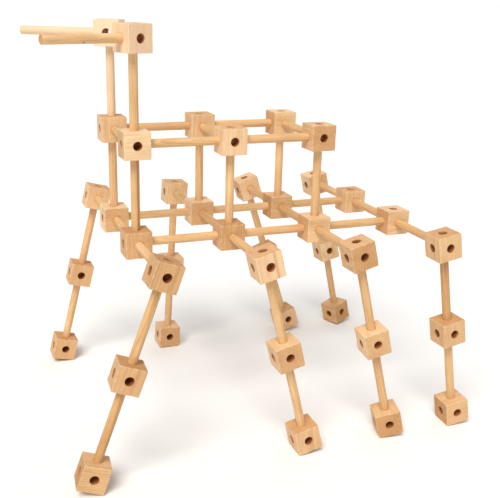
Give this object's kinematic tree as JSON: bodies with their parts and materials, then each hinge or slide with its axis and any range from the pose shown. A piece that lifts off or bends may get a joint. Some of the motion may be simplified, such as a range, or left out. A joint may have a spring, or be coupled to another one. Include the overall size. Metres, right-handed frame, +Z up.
{
  "type": "construction kit walker",
  "caption": "Eight-legged walker built from drilled wooden cubes and round dowels, with swinging legs, turning knees and feet, and two swivelling heads on necks.",
  "frame": {"origin": "on the floor under the middle of the bounding box", "axes": "+X from the heads to the tail, +Y from the near row of legs to the far row, +Z up"},
  "size_m": [0.5044, 0.3702, 0.4705],
  "materials": {
    "cube_wood": "bare sanded beech",
    "dowel_wood": "bare turned beech"
  },
  "bodies": {
    "deck_frame": {"lower_deck_cubes_near": "cube_wood", "upper_deck_cubes_near": "cube_wood", "lower_deck_cubes_far": "cube_wood", "upper_deck_cubes_far": "cube_wood", "lower_rails_near": "dowel_wood", "upper_rails_near": "dowel_wood", "posts_near": "dowel_wood", "neck_near": "dowel_wood", "hip_dowels_near": "dowel_wood", "lower_rails_far": "dowel_wood", "upper_rails_far": "dowel_wood", "posts_far": "dowel_wood", "neck_far": "dowel_wood", "hip_dowels_far": "dowel_wood", "lower_cross_dowels": "dowel_wood", "upper_cross_dowels": "dowel_wood"},
    "head_near": {"head_cube_near": "cube_wood", "feeler_near": "dowel_wood"},
    "head_far": {"head_cube_far": "cube_wood", "feeler_far": "dowel_wood"},
    "leg_near_1": {"hip_cube_near_1": "cube_wood", "thigh_near_1": "dowel_wood"},
    "knee_near_1": {"knee_cube_near_1": "cube_wood", "shin_near_1": "dowel_wood"},
    "foot_near_1": {"foot_cube_near_1": "cube_wood"},
    "leg_near_2": {"hip_cube_near_2": "cube_wood", "thigh_near_2": "dowel_wood"},
    "knee_near_2": {"knee_cube_near_2": "cube_wood", "shin_near_2": "dowel_wood"},
    "foot_near_2": {"foot_cube_near_2": "cube_wood"},
    "leg_near_3": {"hip_cube_near_3": "cube_wood", "thigh_near_3": "dowel_wood"},
    "knee_near_3": {"knee_cube_near_3": "cube_wood", "shin_near_3": "dowel_wood"},
    "foot_near_3": {"foot_cube_near_3": "cube_wood"},
    "leg_near_4": {"hip_cube_near_4": "cube_wood", "thigh_near_4": "dowel_wood"},
    "knee_near_4": {"knee_cube_near_4": "cube_wood", "shin_near_4": "dowel_wood"},
    "foot_near_4": {"foot_cube_near_4": "cube_wood"},
    "leg_far_1": {"hip_cube_far_1": "cube_wood", "thigh_far_1": "dowel_wood"},
    "knee_far_1": {"knee_cube_far_1": "cube_wood", "shin_far_1": "dowel_wood"},
    "foot_far_1": {"foot_cube_far_1": "cube_wood"},
    "leg_far_2": {"hip_cube_far_2": "cube_wood", "thigh_far_2": "dowel_wood"},
    "knee_far_2": {"knee_cube_far_2": "cube_wood", "shin_far_2": "dowel_wood"},
    "foot_far_2": {"foot_cube_far_2": "cube_wood"},
    "leg_far_3": {"hip_cube_far_3": "cube_wood", "thigh_far_3": "dowel_wood"},
    "knee_far_3": {"knee_cube_far_3": "cube_wood", "shin_far_3": "dowel_wood"},
    "foot_far_3": {"foot_cube_far_3": "cube_wood"},
    "leg_far_4": {"hip_cube_far_4": "cube_wood", "thigh_far_4": "dowel_wood"},
    "knee_far_4": {"knee_cube_far_4": "cube_wood", "shin_far_4": "dowel_wood"},
    "foot_far_4": {"foot_cube_far_4": "cube_wood"}
  },
  "joints": [
    {"name": "head_near_swivel", "type": "hinge", "parent": "deck_frame", "child": "head_near", "pos_m": [-0.1522, -0.05591, 0.4555], "axis": [0, 0, 1], "range_deg": [-90, 225]},
    {"name": "head_far_swivel", "type": "hinge", "parent": "deck_frame", "child": "head_far", "pos_m": [-0.1522, 0.05509, 0.4555], "axis": [0, 0, 1], "range_deg": [-215, 95]},
    {"name": "hip_near_1_swing", "type": "hinge", "parent": "deck_frame", "child": "leg_near_1", "pos_m": [-0.1522, -0.16691, 0.2335], "axis": [0, -1, 0], "range_deg": [-225, 50]},
    {"name": "knee_near_1_twist", "type": "hinge", "parent": "leg_near_1", "child": "knee_near_1", "pos_m": [-0.19114, -0.16691, 0.12652], "axis": [0.342, 0, 0.9397], "continuous": true},
    {"name": "foot_near_1_twist", "type": "hinge", "parent": "knee_near_1", "child": "foot_near_1", "pos_m": [-0.23007, -0.16691, 0.01954], "axis": [0.342, 0, 0.9397], "continuous": true},
    {"name": "hip_near_2_swing", "type": "hinge", "parent": "deck_frame", "child": "leg_near_2", "pos_m": [-0.0412, -0.16691, 0.2335], "axis": [0, -1, 0], "range_deg": [-50, 18]},
    {"name": "knee_near_2_twist", "type": "hinge", "parent": "leg_near_2", "child": "knee_near_2", "pos_m": [-0.01336, -0.16691, 0.12585], "axis": [-0.2504, 0, 0.9681], "continuous": true},
    {"name": "foot_near_2_twist", "type": "hinge", "parent": "knee_near_2", "child": "foot_near_2", "pos_m": [0.01448, -0.16691, 0.01821], "axis": [-0.2504, 0, 0.9681], "continuous": true},
    {"name": "hip_near_3_swing", "type": "hinge", "parent": "deck_frame", "child": "leg_near_3", "pos_m": [0.0698, -0.16691, 0.2335], "axis": [0, -1, 0], "range_deg": [-16, 14]},
    {"name": "knee_near_3_twist", "type": "hinge", "parent": "leg_near_3", "child": "knee_near_3", "pos_m": [0.09754, -0.16691, 0.12623], "axis": [-0.2504, 0, 0.9681], "continuous": true},
    {"name": "foot_near_3_twist", "type": "hinge", "parent": "knee_near_3", "child": "foot_near_3", "pos_m": [0.12528, -0.16691, 0.01896], "axis": [-0.2504, 0, 0.9681], "continuous": true},
    {"name": "hip_near_4_swing", "type": "hinge", "parent": "deck_frame", "child": "leg_near_4", "pos_m": [0.1808, -0.16691, 0.2335], "axis": [0, -1, 0], "range_deg": [-12, 235]},
    {"name": "knee_near_4_twist", "type": "hinge", "parent": "leg_near_4", "child": "knee_near_4", "pos_m": [0.19994, -0.16691, 0.12497], "axis": [-0.1736, 0, 0.9848], "continuous": true},
    {"name": "foot_near_4_twist", "type": "hinge", "parent": "knee_near_4", "child": "foot_near_4", "pos_m": [0.2189, -0.16691, 0.01745], "axis": [-0.1736, 0, 0.9848], "continuous": true},
    {"name": "hip_far_1_swing", "type": "hinge", "parent": "deck_frame", "child": "leg_far_1", "pos_m": [-0.1522, 0.16609, 0.2335], "axis": [0, -1, 0], "range_deg": [-230, 28]},
    {"name": "knee_far_1_twist", "type": "hinge", "parent": "leg_far_1", "child": "knee_far_1", "pos_m": [-0.17905, 0.16609, 0.12581], "axis": [0.2419, 0, 0.9703], "continuous": true},
    {"name": "foot_far_1_twist", "type": "hinge", "parent": "knee_far_1", "child": "foot_far_1", "pos_m": [-0.2059, 0.16609, 0.01812], "axis": [0.2419, 0, 0.9703], "continuous": true},
    {"name": "hip_far_2_swing", "type": "hinge", "parent": "deck_frame", "child": "leg_far_2", "pos_m": [-0.0412, 0.16609, 0.2335], "axis": [0, -1, 0], "range_deg": [-30, 38]},
    {"name": "knee_far_2_twist", "type": "hinge", "parent": "leg_far_2", "child": "knee_far_2", "pos_m": [-0.04697, 0.16609, 0.12345], "axis": [0.0523, 0, 0.9986], "continuous": true},
    {"name": "foot_far_2_twist", "type": "hinge", "parent": "knee_far_2", "child": "foot_far_2", "pos_m": [-0.05261, 0.16609, 0.01573], "axis": [0.0523, 0, 0.9986], "continuous": true},
    {"name": "hip_far_3_swing", "type": "hinge", "parent": "deck_frame", "child": "leg_far_3", "pos_m": [0.0698, 0.16609, 0.2335], "axis": [0, -1, 0], "range_deg": [-36, 14]},
    {"name": "knee_far_3_twist", "type": "hinge", "parent": "leg_far_3", "child": "knee_far_3", "pos_m": [0.10464, 0.16609, 0.12627], "axis": [-0.309, 0, 0.9511], "continuous": true},
    {"name": "foot_far_3_twist", "type": "hinge", "parent": "knee_far_3", "child": "foot_far_3", "pos_m": [0.13948, 0.16609, 0.01904], "axis": [-0.309, 0, 0.9511], "continuous": true},
    {"name": "hip_far_4_swing", "type": "hinge", "parent": "deck_frame", "child": "leg_far_4", "pos_m": [0.1808, 0.16609, 0.2335], "axis": [0, -1, 0], "range_deg": [-12, 230]},
    {"name": "knee_far_4_twist", "type": "hinge", "parent": "leg_far_4", "child": "knee_far_4", "pos_m": [0.20559, 0.16609, 0.12612], "axis": [-0.225, 0, 0.9744], "continuous": true},
    {"name": "foot_far_4_twist", "type": "hinge", "parent": "knee_far_4", "child": "foot_far_4", "pos_m": [0.23037, 0.16609, 0.01878], "axis": [-0.225, 0, 0.9744], "continuous": true}
  ]
}
